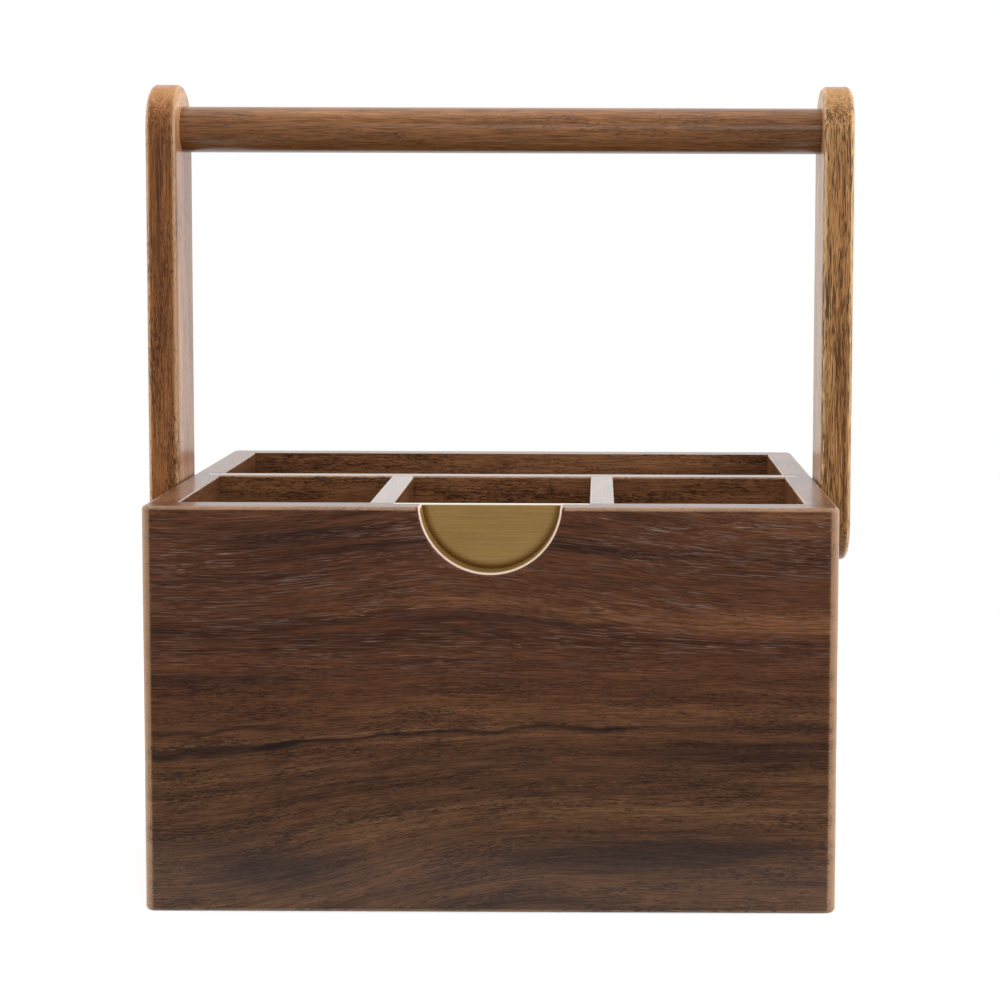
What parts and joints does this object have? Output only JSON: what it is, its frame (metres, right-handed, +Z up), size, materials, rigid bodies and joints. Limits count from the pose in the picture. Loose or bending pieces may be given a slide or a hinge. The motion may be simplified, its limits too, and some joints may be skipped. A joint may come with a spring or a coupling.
{
  "type": "utensil caddy",
  "caption": "Open-topped walnut utensil caddy with divided compartments, a brass-backed half-moon notch in the front and a swinging carrying handle with a round grip.",
  "frame": {"origin": "middle of the underside, in the plane of the worktop it stands on", "axes": "+X to the right, +Y to the rear, +Z up; the notched front faces -Y"},
  "size_m": [0.2752, 0.198, 0.303],
  "materials": {
    "walnut_box": "satin lacquered walnut",
    "walnut_divider": "satin lacquered walnut",
    "walnut_handle": "satin lacquered walnut, paler boards",
    "walnut_bottom": "walnut-faced plywood, satin",
    "dowel": "plain beech",
    "brass": "satin brushed brass",
    "pivot_brass": "turned brass, satin",
    "washer": "dark nylon"
  },
  "bodies": {
    "caddy": {"front_panel": "walnut_box", "back_panel": "walnut_box", "right_side": "walnut_box", "left_side": "walnut_box", "bottom_panel": "walnut_bottom", "long_divider": "walnut_divider", "right_short_divider": "walnut_divider", "left_short_divider": "walnut_divider", "brass_plate": "brass", "brass_plate_screws": "brass", "front_right_dowels": "dowel", "front_left_dowels": "dowel", "back_right_dowels": "dowel", "back_left_dowels": "dowel", "right_divider_dowels": "dowel", "left_divider_dowels": "dowel", "right_pivot_bolt": "pivot_brass", "left_pivot_bolt": "pivot_brass", "right_pivot_insert": "pivot_brass", "left_pivot_insert": "pivot_brass", "right_pivot_washer": "washer", "left_pivot_washer": "washer"},
    "handle": {"right_arm": "walnut_handle", "left_arm": "walnut_handle", "handle_rod": "walnut_handle"}
  },
  "joints": [
    {"name": "handle_swing", "type": "hinge", "parent": "caddy", "child": "handle", "pos_m": [0, -0.007, 0.133], "axis": [1, 0, 0], "range_deg": [-130, 138]}
  ]
}
